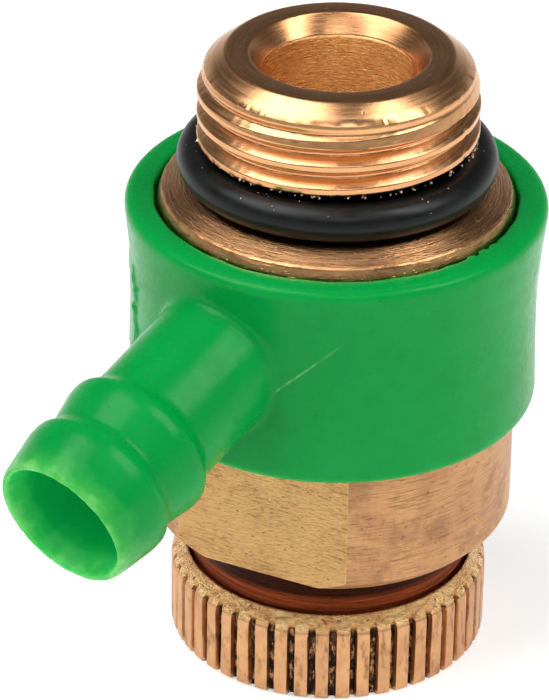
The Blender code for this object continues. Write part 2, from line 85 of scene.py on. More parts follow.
# Spigot
CHAMFER_END = STEM_TOP - 1.2
THREAD_FULL = STEM_TOP - 2.8
THREAD_START = STEM_TOP - 1.3      # the thread's groove starts here
THREAD_END = STEM_TOP - 6.65
THREAD_R = 20.955 / 2
THREAD_LEAD_R = 9.95
THREAD_PITCH = 25.4 / 14
THREAD_DEPTH = 0.78
THREAD_CREST_SHARE = 0.26
THREAD_FLANK_SHARE = 0.31
THREAD_OFFSET_TURNS = 0.047
END_FACE_R = 8.4
COUNTERSINK_R = 6.7
COUNTERSINK_DEPTH = 1.4
BORE_R = 5.6
RELIEF_R = 8.6
FLANGE_TOP = 38.6
FLANGE_R = FLANGE_FOOT_R - 0.3
FLANGE_EDGE = 38.0
FLANGE_FOOT_Z = 37.2
FLANGE_UNDERSIDE = 36.0
FLANGE_FLAT_R = 11.3
JOURNAL_R = 10.6

# Swivel collar
COLLAR_BOTTOM = BODY_TOP + 0.3
COLLAR_BORE_R = 10.9
COUNTERBORE_R = 13.6                # its lip; ragged flash narrows it
COUNTERBORE_FLOOR = 35.7
COLLAR_SECTION = ((37.4, 15.8), (36.6, 15.8), (33.3, 15.46), (30.8, 15.29), (28.8, 15.25),
                  (26.4, 15.3), (21.8, 15.45), (21.2, 15.45))   # height, radius
TAIL_DROOP = math.radians(17.1)
TAIL_AXIS_Z = 33.93
TAIL_R = 5.2
TAIL_BARB_R = 6.0
TAIL_END_S = 33.9
TAIL_BARBS_S = (23.4, 28.1)
TAIL_BORE_R = 4.4
TAIL_LIP_R = 5.05
TAIL_LIP_DEPTH = 2.0
TAIL_BORE_FLOOR_S = 17.5
TAIL_PASSAGE_R = 2.2
SEAM_R = 15.27                      # a faint weld line, painted pale as a highlight, climbs from the tail's root
SEAM_START = (6.0, 29.2)            # along the arc, height
SEAM_CLIMB = math.radians(42.4)
SEAM_LENGTH = 6.5
FLASH_ARC = (-62.0, -38.0)          # raised flash beside the tail, degrees from the tail
FLASH_HEIGHTS = (23.5, 33.0)
FLASH_RISE = 0.15
RIM_TEAR = 84.0                     # torn flash at the counterbore's lip, degrees from the tail
COLLAR_CELL = 0.25

# Wrench body
BODY_BOTTOM = 10.55
BODY_CHAMFER = 1.0
FLAT_DISTANCE = 12.1
FLAT_TURN = math.radians(11.5)
NECK_R = 10.8
NECK_BORE_R = 8.7
BODY_BORE_R = 9.9

# Knob
KNOB_SHOULDER_R = 11.25
KNOB_SHOULDER_DROP = 0.8
KNOB_CAVITY_R = 11.1
KNOB_FLOOR_Z = 2.1
KNURL_COUNT = 48
KNURL_WIDTH = 0.55
KNURL_DEPTH = 0.55
KNURL_TURN = math.radians(1.0)

AROUND = 288                       # facets around a turned piece


# ---------------------------------------------------------------- mesh helpers

def make_object(name, verts, faces, material, sharp_deg=None, merge=True):
    """Mesh object from vertices in mm."""
    mesh = bpy.data.meshes.new(name)
    mesh.from_pydata((np.asarray(verts) * MM).tolist(), [], faces)
    if merge:
        bm = bmesh.new()
        bm.from_mesh(mesh)
        bmesh.ops.remove_doubles(bm, verts=bm.verts[:], dist=2e-6)
        bmesh.ops.dissolve_degenerate(bm, edges=bm.edges[:], dist=1e-7)
        bmesh.ops.recalc_face_normals(bm, faces=bm.faces[:])
        bm.to_mesh(mesh)
        bm.free()
    mesh.materials.append(material)
    mesh.shade_smooth()
    if sharp_deg is not None:
        mesh.set_sharp_from_angle(angle=math.radians(sharp_deg))
    obj = bpy.data.objects.new(name, mesh)
    bpy.context.scene.collection.objects.link(obj)
    return obj


def show(obj, body, slot, *nodes):
    """Put a finished piece on its body, in place of the CAD nodes it stands for."""
    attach(obj, body)
    if nodes:
        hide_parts(*nodes)
    return obj


def rounded(corners, steps=5):
    """Closed outline through (radius, height, rounding) corners."""
    points = []
    count = len(corners)
    for index, (radius, height, rounding) in enumerate(corners):
        here = np.array((radius, height))
        if rounding == 0:
            points.append(here)
            continue
        back = np.array(corners[index - 1][:2]) - here
        ahead = np.array(corners[(index + 1) % count][:2]) - here
        reach = min(rounding, 0.45 * np.linalg.norm(back), 0.45 * np.linalg.norm(ahead))
        first = here + back / np.linalg.norm(back) * reach
        last = here + ahead / np.linalg.norm(ahead) * reach
        for step in range(steps + 1):
            share = step / steps
            points.append(
                (1 - share) ** 2 * first + 2 * share * (1 - share) * here + share ** 2 * last)
    return np.array(points)


def refined(outline, step, least=0.0):
    """Split an outline's long sides, where both ends are at least that far from the axis."""
    pieces = []
    for start, end in zip(outline, np.roll(outline, -1, axis=0)):
        parts = 1
        if min(start[0], end[0]) >= least:
            parts = max(1, int(math.ceil(np.linalg.norm(end - start) / step)))
        pieces += [start + (end - start) * part / parts for part in range(parts)]
    return np.array(pieces)


def grid_faces(rows, columns, closed_rows=True):
    """Quads over a grid of rows by columns that closes round the columns."""
    faces = []
    last = rows if closed_rows else rows - 1
    for row in range(last):
        above = (row + 1) % rows
        for column in range(columns):
            right = (column + 1) % columns
            faces.append((row * columns + column, row * columns + right,
                          above * columns + right, above * columns + column))
    return faces


def turned(name, outline, material, around=AROUND, shape=None, sharp_deg=40, angles=None):
    """Solid of revolution; shape(radius, height, angle) may move its surface."""
    if angles is None:
        angles = np.arange(around) * math.tau / around
    radius = np.repeat(outline[:, 0], len(angles))
    height = np.repeat(outline[:, 1], len(angles))
    angle = np.tile(angles, len(outline))
    if shape is not None:
        radius, height = shape(radius, height, angle)
    verts = np.stack([radius * np.cos(angle), radius * np.sin(angle), height], axis=1)
    return make_object(name, verts, grid_faces(len(outline), len(angles)), material, sharp_deg)


def waves(angle, seed, count, low, high):
    """Smooth periodic wobble between about -1 and 1 along an angle."""
    draw = np.random.default_rng(seed)
    total = np.zeros_like(angle)
    for _ in range(count):
        total += np.cos(draw.integers(low, high) * angle + draw.uniform(0, math.tau))
    return total / math.sqrt(count)


def smooth_max(a, b, width):
    share = np.clip(0.5 + 0.5 * (a - b) / width, 0, 1)
    return b * (1 - share) + a * share + width * share * (1 - share)


def smooth_min(a, b, width):
    return -smooth_max(-a, -b, width)


# ------------------------------------------------------------ material helpers

class Shader:
    """Short hand for one material's node tree."""

    def __init__(self, name):
        self.material = bpy.data.materials.new(name)
        self.material.use_nodes = True
        self.tree = self.material.node_tree
        self.main = self.tree.nodes["Principled BSDF"]
        coords = self.tree.nodes.new("ShaderNodeTexCoord")
        scaled = self.tree.nodes.new("ShaderNodeVectorMath")
        scaled.operation = "SCALE"
        scaled.inputs["Scale"].default_value = 1 / MM
        self.tree.links.new(coords.outputs["Object"], scaled.inputs[0])
        self.position = scaled.outputs[0]

    def put(self, socket, value):
        """Give an input socket a constant or a link."""
        if isinstance(value, bpy.types.NodeSocket):
            self.tree.links.new(value, socket)
        elif isinstance(value, (int, float)):
            socket.default_value = value
        elif len(value) == 3 and socket.type == "RGBA":
            socket.default_value = (*value, 1.0)
        else:
            socket.default_value = value

    def math(self, operation, a, b=0.0, clamp=False):
        node = self.tree.nodes.new("ShaderNodeMath")
        node.operation = operation
        node.use_clamp = clamp
        self.put(node.inputs[0], a)
        self.put(node.inputs[1], b)
        return node.outputs[0]

    def vector(self, x, y, z):
        node = self.tree.nodes.new("ShaderNodeCombineXYZ")
        for socket, value in zip(node.inputs, (x, y, z)):
            self.put(socket, value)
        return node.outputs[0]

    def stretch(self, vector, scale, offset=(0, 0, 0), turn=(0, 0, 0)):
        node = self.tree.nodes.new("ShaderNodeMapping")
        self.put(node.inputs["Vector"], vector)
        self.put(node.inputs["Location"], offset)
        self.put(node.inputs["Rotation"], turn)
        self.put(node.inputs["Scale"], scale)
        return node.outputs[0]

    def parts(self):
        node = self.tree.nodes.new("ShaderNodeSeparateXYZ")
        self.put(node.inputs[0], self.position)
        return node.outputs

    def noise(self, vector, scale, detail=3.0, roughness=0.55, distortion=0.0):
        node = self.tree.nodes.new("ShaderNodeTexNoise")
        self.put(node.inputs["Vector"], vector)
        self.put(node.inputs["Scale"], scale)
        self.put(node.inputs["Detail"], detail)
        self.put(node.inputs["Roughness"], roughness)
        self.put(node.inputs["Distortion"], distortion)
        return node.outputs["Fac"]

    def spots(self, vector, scale, randomness=1.0):
        node = self.tree.nodes.new("ShaderNodeTexVoronoi")
        self.put(node.inputs["Vector"], vector)
        self.put(node.inputs["Scale"], scale)
        self.put(node.inputs["Randomness"], randomness)
        return node.outputs["Distance"]

    def span(self, value, low, high, out_low=0.0, out_high=1.0):
        """Clamped remap of a value."""
        node = self.tree.nodes.new("ShaderNodeMapRange")
        for socket, number in zip(node.inputs[:5], (value, low, high, out_low, out_high)):
            self.put(socket, number)
        return node.outputs[0]

    def mix(self, share, a, b):
        node = self.tree.nodes.new("ShaderNodeMix")
        node.data_type = "RGBA"
        self.put(node.inputs[0], share)
        self.put(node.inputs[6], a)
        self.put(node.inputs[7], b)
        return node.outputs[2]

    def bump(self, height, distance, normal=None, strength=1.0):
        """Bump whose height 1 stands this many millimetres proud."""
        node = self.tree.nodes.new("ShaderNodeBump")
        self.put(node.inputs["Strength"], strength)
        self.put(node.inputs["Distance"], distance * MM)
        self.put(node.inputs["Height"], height)
        if normal is not None:
            self.put(node.inputs["Normal"], normal)
        return node.outputs[0]

    def round_parts(self):
        """Distance from the axis, and the unit direction away from it."""
        x, y, _z = self.parts()
        radius = self.math("SQRT", self.math("ADD", self.math("MULTIPLY", x, x),
                                             self.math("MULTIPLY", y, y)))
        safe = self.math("MAXIMUM", radius, 0.01)
        return radius, self.math("DIVIDE", x, safe), self.math("DIVIDE", y, safe)

    def turning(self, around, across, slant=1.7):
        """Coordinates in which noise runs in rings round the axis."""
        radius, east, north = self.round_parts()
        z = self.parts()[2]
        climb = self.math("ADD", z, self.math("MULTIPLY", radius, slant))
        return self.vector(self.math("MULTIPLY", east, around),
                           self.math("MULTIPLY", north, around),
                           self.math("MULTIPLY", climb, across))

    def finish(self, **sockets):
        for name, value in sockets.items():
            self.put(self.main.inputs[name.replace("_", " ")], value)
        return self.material


# -------------------------------------------------------------------- materials

BRASS = (0.76, 0.41, 0.18)
BRASS_PINK = (0.70, 0.35, 0.165)
MILLED, MILLED_DARK = (0.70, 0.405, 0.163), (0.30, 0.13, 0.045)
TURNED_DULL, TURNED_BRIGHT = (0.60, 0.300, 0.140), (0.70, 0.378, 0.172)
TURNED_STAIN, TURNED_MARK = (0.30, 0.15, 0.07), (0.24, 0.09, 0.04)
NECK_DARK, NECK_LIGHT = (0.15, 0.027, 0.009), (0.46, 0.100, 0.030)
NECK_SHADE = (0.012, 0.006, 0.005)
LAND_DULL, LAND_BRIGHT = (0.59, 0.300, 0.152), (0.72, 0.395, 0.185)
LAND_DRAWN = (0.20, 0.08, 0.035)
# Shoulder colours are lifted to bright gold as a painted highlight.
SHOULDER_DULL, SHOULDER_BRIGHT = (0.84, 0.46, 0.19), (1.0, 0.66, 0.30)
SHOULDER_PIT = (0.12, 0.05, 0.02)
TARNISH = (0.34, 0.13, 0.05)
# Near black: real pits and dirt, and also painted shade in the thread's relief and the knurl slots.
SOOT_AND_SHADE = (0.030, 0.016, 0.010)


def spigot_brass():
    """Turned brass: ring marks, chatter in the bore, a few pits; painted shade in the countersink and
    the thread's relief, and painted glints in the bore.
    """
    s = Shader("spigot_brass")
    radius, _east, _north = s.round_parts()
    height = s.parts()[2]
    rings = s.noise(s.turning(0.6, 9.0), 1.0, 4.0, 0.6)
    fine_rings = s.noise(s.turning(1.5, 34.0), 1.0, 2.0, 0.5)
    cloud = s.noise(s.position, 0.35, 3.0)
    colour = s.mix(s.span(cloud, 0.35, 0.7), BRASS_PINK, BRASS)
    # Painted shade: the countersink's wall is darkened.
    countersink_shade = s.math("MULTIPLY", s.span(radius, COUNTERSINK_R + 0.1, COUNTERSINK_R, 0.0, 0.45),
                  s.span(height, STEM_TOP - COUNTERSINK_DEPTH, STEM_TOP - 0.8))
    colour = s.mix(countersink_shade, colour, (0.42, 0.17, 0.07))
    colour = s.mix(s.span(rings, 0.52, 0.75, 0.0, 0.12), colour, TARNISH)
    # Painted shade: the relief below the thread, next to the O-ring, is darkened almost to black.
    relief_shade = s.math("MULTIPLY", s.span(radius, THREAD_R - 0.9, THREAD_R - 1.5),
                       s.span(height, THREAD_END - 0.1, THREAD_END + 0.1, 1.0, 0.0))
    outside = s.span(radius, BORE_R + 1.5, BORE_R + 1.6)
    colour = s.mix(s.math("MULTIPLY", s.math("MULTIPLY", relief_shade, outside), 0.85), colour, SOOT_AND_SHADE)
    on_flange = s.math("MULTIPLY", s.span(radius, THREAD_R + 0.2, THREAD_R + 0.6),
                       s.span(height, FLANGE_UNDERSIDE - 0.2, FLANGE_UNDERSIDE))
    worn = s.noise(s.turning(5.0, 5.5), 1.0, 4.0, 0.7)
    stain = s.math("MULTIPLY", on_flange, s.span(worn, 0.47, 0.64, 0.0, 0.55))
    colour = s.mix(stain, colour, (0.20, 0.075, 0.030))
    pits = s.span(s.spots(s.position, 0.62), 0.0, 0.11, 1.0, 0.0)
    chance = s.span(s.noise(s.position, 0.8, 1.0), 0.52, 0.60)
    pits = s.math("MULTIPLY", pits, chance)
    nicks = s.span(s.spots(s.stretch(s.position, (1.0, 1.0, 2.0)), 1.25), 0.0, 0.16, 1.0, 0.0)
    nicks = s.math("MULTIPLY", nicks, s.math("MULTIPLY", on_flange, s.span(cloud, 0.45, 0.6)))
    pits = s.math("MAXIMUM", pits, nicks)
    colour = s.mix(pits, colour, SOOT_AND_SHADE)
    # Painted highlight: the bore's chatter marks are painted up to bright gold, as glints on the real
    # chatter.
    in_bore = s.math("MULTIPLY", s.span(radius, BORE_R + 0.12, BORE_R + 0.18, 1.0, 0.0),
                     s.span(height, STEM_TOP - 1.4, STEM_TOP - 1.6))
    dashes = s.noise(s.turning(17.0, 9.0, 0.0), 1.0, 3.0, 0.7)
    grain = s.noise(s.turning(34.0, 16.0, 0.0), 1.0, 2.0, 0.6)
    chatter = s.math("ADD", dashes, s.math("MULTIPLY", grain, 0.5))
    colour = s.mix(in_bore, colour, s.mix(s.span(chatter, 0.6, 0.9), (0.66, 0.22, 0.045),
                                          (0.98, 0.56, 0.20)))
    surface = s.bump(rings, 0.006)
    surface = s.bump(fine_rings, 0.0025, surface)
    surface = s.bump(s.math("MULTIPLY", worn, on_flange), 0.10, surface)
    surface = s.bump(s.math("MULTIPLY", chatter, in_bore), 0.22, surface)
    surface = s.bump(pits, -0.05, surface)
    roughness = s.span(s.noise(s.turning(2.0, 5.0), 1.0, 3.0), 0.3, 0.7, 0.20, 0.34)
    roughness = s.math("ADD", roughness, s.math("MULTIPLY", pits, 0.4))
    return s.finish(Base_Color=colour, Metallic=1.0, Roughness=roughness, Normal=surface)


def body_brass():
    """Milled flats, turned round and the dark neck of the wrench body."""
    s = Shader("body_brass")
    x, y, height = s.parts()
    across = s.math("ADD", s.math("MULTIPLY", x, math.sin(FLAT_TURN)),
                    s.math("MULTIPLY", y, -math.cos(FLAT_TURN)))
    flat = s.span(s.math("ABSOLUTE", across), FLAT_DISTANCE - 0.06, FLAT_DISTANCE - 0.02)
    neck = s.span(height, BODY_BOTTOM - 0.02, BODY_BOTTOM + 0.01, 1.0, 0.0)
    cloud = s.noise(s.position, 0.30, 3.0, 0.6)
    streak = s.noise(s.stretch(s.position, (0.9, 0.9, 7.0)), 1.0, 4.0, 0.65)
    upright = s.noise(s.turning(46.0, 0.30, 0.0), 1.0, 2.0, 0.6)
    level = s.noise(s.turning(5.0, 9.0, 0.0), 1.0, 5.0, 0.72)
    scratch = s.noise(s.stretch(s.position, (2.4, 2.4, 16.0)), 1.0, 3.0, 0.7)
    streak = s.math("MAXIMUM", streak, s.math("SUBTRACT", scratch, 0.03))
    streak = s.math("ADD", streak, s.span(cloud, 0.35, 0.65, -0.05, 0.07))
    flat_colour = s.mix(s.span(streak, 0.55, 0.71, 0.0, 0.88), MILLED, MILLED_DARK)
    round_colour = s.mix(s.span(cloud, 0.40, 0.62), TURNED_DULL, TURNED_BRIGHT)
    marks = s.math("MAXIMUM", s.span(level, 0.52, 0.68),
                   s.span(upright, 0.66, 0.80, 0.0, 0.55))
    stained = s.math("MULTIPLY", s.span(s.noise(s.position, 0.22, 5.0, 0.72), 0.49, 0.60), 0.5)
    round_colour = s.mix(stained, round_colour, TURNED_STAIN)
    round_colour = s.mix(s.math("MULTIPLY", marks, 0.9), round_colour, TURNED_MARK)
    pits = s.span(s.spots(s.stretch(s.position, (1.0, 1.0, 2.2)), 1.2), 0.0, 0.20, 1.0, 0.0)
    clusters = s.span(s.noise(s.position, 0.42, 2.0), 0.44, 0.54)
    pits = s.math("MULTIPLY", pits, clusters)
    colour = s.mix(flat, round_colour, flat_colour)
    colour = s.mix(s.math("MULTIPLY", pits, 0.85), colour, SOOT_AND_SHADE)
    lines = s.noise(s.turning(1.2, 8.0), 1.0, 4.0, 0.7)
    neck_colour = s.mix(s.span(lines, 0.35, 0.65), NECK_DARK, NECK_LIGHT)
    under = s.span(height, KNOB_TOP + 0.9, KNOB_TOP + 1.5)
    neck_colour = s.mix(s.math("MULTIPLY", under, 0.9), neck_colour, NECK_SHADE)
    colour = s.mix(neck, colour, neck_colour)
    surface = s.bump(s.math("MULTIPLY", streak, flat), 0.15)
    not_flat = s.math("SUBTRACT", 1.0, flat)
    surface = s.bump(s.math("MULTIPLY", level, not_flat), 0.12, surface)
    surface = s.bump(s.math("MULTIPLY", upright, not_flat), 0.025, surface)
    surface = s.bump(s.math("MULTIPLY", lines, neck), 0.05, surface)
    surface = s.bump(pits, -0.06, surface)
    roughness = s.span(cloud, 0.3, 0.7, 0.30, 0.42)
    return s.finish(Base_Color=colour, Metallic=1.0, Roughness=roughness, Normal=surface)


def knob_brass():
    """Smooth lands, a grainy shoulder painted bright as a highlight, and knurl slots darkened by dirt
    and painted shade.
    """
    s = Shader("knob_brass")
    radius, _east, _north = s.round_parts()
    height = s.parts()[2]
    cloud = s.noise(s.position, 0.5, 3.0, 0.6)
    grain = s.noise(s.position, 7.0, 3.0, 0.7)
    colour = s.mix(s.span(cloud, 0.35, 0.65), LAND_DULL, LAND_BRIGHT)
    drawn = s.noise(s.turning(16.0, 0.5, 0.0), 1.0, 3.0, 0.65)
    rim = s.span(radius, KNOB_R - 1.0, KNOB_R - 0.8)
    drawn = s.math("MULTIPLY", s.span(drawn, 0.52, 0.70, 0.0, 0.75), rim)
    colour = s.mix(drawn, colour, LAND_DRAWN)
    faced = s.noise(s.turning(0.7, 6.0), 1.0, 4.0, 0.65)
    faced = s.math("MULTIPLY", faced, s.math("SUBTRACT", 1.0, rim))
    side = s.span(height, KNOB_TOP - KNOB_SHOULDER_DROP - 0.40,
                  KNOB_TOP - KNOB_SHOULDER_DROP - 0.15, 1.0, 0.0)
    shoulder = s.math("SUBTRACT", 1.0, side)
    pitted = s.noise(s.position, 3.1, 5.0, 0.78)
    # Painted highlight: the shoulder is painted bright gold; the dark pits in it are real.
    shoulder_painted_highlight = s.mix(s.span(cloud, 0.40, 0.62), SHOULDER_DULL, SHOULDER_BRIGHT)
    shoulder_painted_highlight = s.mix(s.span(pitted, 0.36, 0.44, 0.8, 0.0), shoulder_painted_highlight, SHOULDER_PIT)
    colour = s.mix(shoulder, colour, shoulder_painted_highlight)
    # The knurl slots' floors are darkened: partly dirt, partly painted shade.
    deep = s.span(radius, KNOB_R - 0.46, KNOB_R - 0.22, 1.0, 0.0)
    outer = s.span(radius, KNOB_R - KNURL_DEPTH - 0.3, KNOB_R - KNURL_DEPTH - 0.2)
    slot = s.math("MULTIPLY", s.math("MULTIPLY", deep, outer), side)
    slot_dirt_and_shade = s.span(s.noise(s.stretch(s.position, (2.2, 2.2, 1.1)), 1.0, 3.0, 0.7), 0.50, 0.64,
                  1.0, 0.30)
    colour = s.mix(s.math("MULTIPLY", slot, slot_dirt_and_shade), colour, SOOT_AND_SHADE)
    surface = s.bump(grain, 0.012)
    surface = s.bump(faced, 0.012, surface)
    surface = s.bump(s.math("MULTIPLY", pitted, shoulder), 0.20, surface)
    hammered = s.noise(s.position, 1.3, 2.0, 0.5)
    surface = s.bump(s.math("MULTIPLY", hammered, shoulder), 0.22, surface)
    surface = s.bump(s.math("MULTIPLY", s.noise(s.position, 4.0, 2.0), slot), 0.04, surface)
    roughness = s.math("ADD", s.span(cloud, 0.3, 0.7, 0.28, 0.38),
                       s.math("MULTIPLY", slot, s.math("MULTIPLY", slot_dirt_and_shade, 0.25)))
    roughness = s.math("SUBTRACT", roughness, s.math("MULTIPLY", shoulder, 0.10))
    return s.finish(Base_Color=colour, Metallic=1.0, Roughness=roughness, Normal=surface)


def collar_plastic():
    """Slightly translucent green moulding with faint flow marks and specks, painted highlights at the
    tail's mouth and along the seam, and a painted glow in the tail's bore.
    """
    s = Shader("collar_plastic")
    cloud = s.noise(s.position, 0.18, 2.0, 0.5)
    colour = s.mix(s.span(cloud, 0.3, 0.7), (0.0006, 0.285, 0.047), (0.0010, 0.325, 0.058))
    x, y, z = s.parts()
    above = s.math("SUBTRACT", z, TAIL_AXIS_Z)
    along = s.math("SUBTRACT", s.math("MULTIPLY", y, -math.cos(TAIL_DROOP)),
                   s.math("MULTIPLY", above, math.sin(TAIL_DROOP)))
    up = s.math("ADD", s.math("MULTIPLY", y, -math.sin(TAIL_DROOP)),
                s.math("MULTIPLY", above, math.cos(TAIL_DROOP)))
    from_tail = s.math("SQRT", s.math("ADD", s.math("MULTIPLY", x, x), s.math("MULTIPLY", up, up)))
    beyond = s.span(along, COLLAR_RIM_R + 1.0, COLLAR_RIM_R + 2.0)
    # Painted glow: this mask makes the tail's bore emit faint green light below.
    inside = s.math("MULTIPLY", s.span(from_tail, TAIL_LIP_R, TAIL_LIP_R + 0.1, 1.0, 0.0), beyond)
    # Painted highlight: the tail's mouth is painted paler green towards its end.
    uneven = s.span(s.noise(s.position, 0.5, 3.0), 0.3, 0.7, -0.8, 0.8)
    edge = s.math("ADD", along, uneven)
    colour = s.mix(s.span(edge, TAIL_END_S - 2.6, TAIL_END_S - 0.4, 0.0, 0.65), colour,
                   (0.070, 0.47, 0.080))
    colour = s.mix(s.span(edge, TAIL_END_S - 0.9, TAIL_END_S + 0.3, 0.0, 0.6), colour,
                   (0.30, 0.62, 0.22))
    specks = s.span(s.spots(s.position, 0.45), 0.0, 0.05, 1.0, 0.0)
    rare = s.span(s.noise(s.position, 0.6, 1.0), 0.56, 0.60)
    specks = s.math("MULTIPLY", specks, rare)
    colour = s.mix(specks, colour, (0.02, 0.05, 0.02))
    skin = s.noise(s.position, 1.4, 3.0, 0.5)
    surface = s.bump(skin, 0.018)
    arc = s.math("MULTIPLY", s.math("ARCTAN2", x, s.math("MULTIPLY", y, -1.0)), SEAM_R)
    level = s.math("SUBTRACT", z, SEAM_START[1])
    arc = s.math("SUBTRACT", arc, SEAM_START[0])
    off = s.math("SUBTRACT", s.math("MULTIPLY", arc, math.sin(SEAM_CLIMB)),
                 s.math("MULTIPLY", level, math.cos(SEAM_CLIMB)))
    run = s.math("ADD", s.math("MULTIPLY", arc, math.cos(SEAM_CLIMB)),
                 s.math("MULTIPLY", level, math.sin(SEAM_CLIMB)))
    seam = s.math("MULTIPLY", s.span(s.math("ABSOLUTE", off), 0.02, 0.12, 1.0, 0.0),
                  s.math("MULTIPLY", s.span(run, -1.4, -1.0),
                         s.span(run, 1.0, SEAM_LENGTH, 1.0, 0.0)))
    seam = s.math("MULTIPLY", seam, s.span(s.noise(s.position, 1.6, 2.0), 0.40, 0.60, 0.25, 1.0))
    seam = s.math("MULTIPLY", seam, s.span(from_tail, TAIL_R + 0.2, TAIL_R + 0.4))
    # Painted highlight: the seam is painted pale green along its real ridge.
    colour = s.mix(s.math("MULTIPLY", seam, 0.7), colour, (0.30, 0.62, 0.28))
    surface = s.bump(seam, 0.06, surface)
    surface = s.bump(s.noise(s.position, 9.0, 2.0), 0.003, surface)
    roughness = s.span(s.noise(s.position, 0.7, 3.0), 0.3, 0.7, 0.22, 0.32)
    s.main.subsurface_method = "RANDOM_WALK"
    # The emission is a painted glow inside the tail's bore.
    return s.finish(
        Base_Color=colour, Roughness=roughness, Normal=surface, Subsurface_Weight=0.45,
        Subsurface_Radius=(0.1, 1.0, 0.3), Subsurface_Scale=0.0018, Specular_IOR_Level=0.13,
        Emission_Color=(0.002, 0.30, 0.060), Emission_Strength=s.math("MULTIPLY", inside, 0.4))


def rubber(name, dusty):
    """Black nitrile rubber with a faint bloom and, where it is exposed, dust."""
    s = Shader(name)
    cloud = s.noise(s.position, 0.6, 4.0, 0.65)
    colour = s.mix(s.span(cloud, 0.3, 0.75), (0.0025, 0.003, 0.003), (0.007, 0.0075, 0.0075))
    dust = s.span(s.spots(s.position, 1.3), 0.0, 0.05, 1.0, 0.0)
    rare = s.span(s.noise(s.position, 0.9, 1.0), 0.55, 0.62, 0.0, dusty)
    colour = s.mix(s.math("MULTIPLY", dust, rare), colour, (0.45, 0.38, 0.30))
    surface = s.bump(s.noise(s.position, 5.0, 3.0), 0.006)
    roughness = s.span(cloud, 0.3, 0.7, 0.30, 0.42)
    return s.finish(
        Base_Color=colour, Roughness=roughness, Normal=surface, Specular_IOR_Level=0.28)


def spring_steel():
    s = Shader("bright_steel")
    rings = s.noise(s.turning(1.0, 12.0), 1.0, 3.0)
    colour = s.mix(s.span(rings, 0.3, 0.7), (0.50, 0.50, 0.48), (0.66, 0.66, 0.64))
    surface = s.bump(rings, 0.01)
    roughness = s.span(rings, 0.3, 0.7, 0.22, 0.36)
    return s.finish(Base_Color=colour, Metallic=1.0, Roughness=roughness, Normal=surface)


def pressed_fibre():
    s = Shader("pressed_fibre")
    strands = s.noise(s.stretch(s.position, (2.0, 6.0, 6.0)), 1.0, 5.0, 0.7, 0.6)
    colour = s.mix(s.span(strands, 0.3, 0.7), (0.30, 0.18, 0.10), (0.52, 0.36, 0.22))
    surface = s.bump(strands, 0.05)
    roughness = s.span(strands, 0.3, 0.7, 0.80, 0.92)
    return s.finish(Base_Color=colour, Roughness=roughness, Normal=surface)


# ------------------------------------------------------------------- the spigot

def crest_share(turns):
    """Depth share of the thread, 0 on the crest and 1 in the root, with rounded edges."""
    phase = np.mod(turns, 1.0)
    flank = THREAD_FLANK_SHARE
    crest_end = flank + THREAD_CREST_SHARE
    return np.interp(phase, [0.0, flank, crest_end, crest_end + flank, 1.0], [1, 0, 0, 1, 1])


def thread_radius(height, angle):
    """Radius of the threaded surface, tapering into the lead chamfer."""
    total = np.zeros_like(height)
    spread = (-0.03, -0.01, 0.01, 0.03)
    for shift in spread:
        turns = ((height - THREAD_END) / THREAD_PITCH - angle / math.tau
                 + THREAD_OFFSET_TURNS + shift)
        total += crest_share(turns) / len(spread)
    fade = np.clip((THREAD_START - height) / 1.1, 0, 1)
    fade = fade * fade * (3 - 2 * fade)
    taper = np.clip((height - THREAD_FULL) / (CHAMFER_END - THREAD_FULL), 0, 1)
    blank = THREAD_R + (THREAD_LEAD_R - THREAD_R) * taper
    cut = THREAD_R - THREAD_DEPTH * total
    return blank - (blank - np.minimum(blank, cut)) * fade


def spigot_thread():
    """Open band of the helical thread whose rows follow the helix."""
    per_pitch = 36
    rows = int((CHAMFER_END - THREAD_END) / THREAD_PITCH * per_pitch) + per_pitch + 2
    step = THREAD_PITCH / per_pitch
    angle = np.arange(AROUND) * math.tau / AROUND
    row = np.arange(rows)
    height = THREAD_END - THREAD_PITCH + row[:, None] * step
    height = height + THREAD_PITCH * angle[None, :] / math.tau
    height = np.clip(height, THREAD_END, CHAMFER_END)
    angle = np.broadcast_to(angle, height.shape)
    radius = thread_radius(height, angle)
    wear = 0.012 * waves(angle.ravel(), 5, 9, 20, 90).reshape(angle.shape)
    dents = np.clip(waves(angle.ravel(), 6, 12, 4, 50).reshape(angle.shape) - 1.0, 0, 1)
    inside = (height > THREAD_END + 0.02) & (height < CHAMFER_END - 0.02)
    radius = radius + wear * inside * (radius < THREAD_R - 0.1)
    crest = (radius > THREAD_R - 0.12) & (height < THREAD_FULL - 0.2)
    radius = radius - 0.10 * dents * crest
    torn = np.clip(waves(angle.ravel(), 9, 14, 15, 110).reshape(angle.shape) - 0.2, 0, 1)
    radius = radius - 0.12 * torn * np.clip((THREAD_END + 0.35 - height) / 0.35, 0, 1)
    verts = np.stack([radius * np.cos(angle), radius * np.sin(angle), height], axis=2)
    faces = []
    for r in range(rows - 1):
        for c in range(AROUND):
            if c + 1 < AROUND:
                right, lift = c + 1, 0
            else:
                right, lift = 0, per_pitch
            low, high = r + lift, r + 1 + lift
            if high < rows:
                faces.append((r * AROUND + c, low * AROUND + right,
                              high * AROUND + right, (r + 1) * AROUND + c))
    return verts.reshape(-1, 3), faces


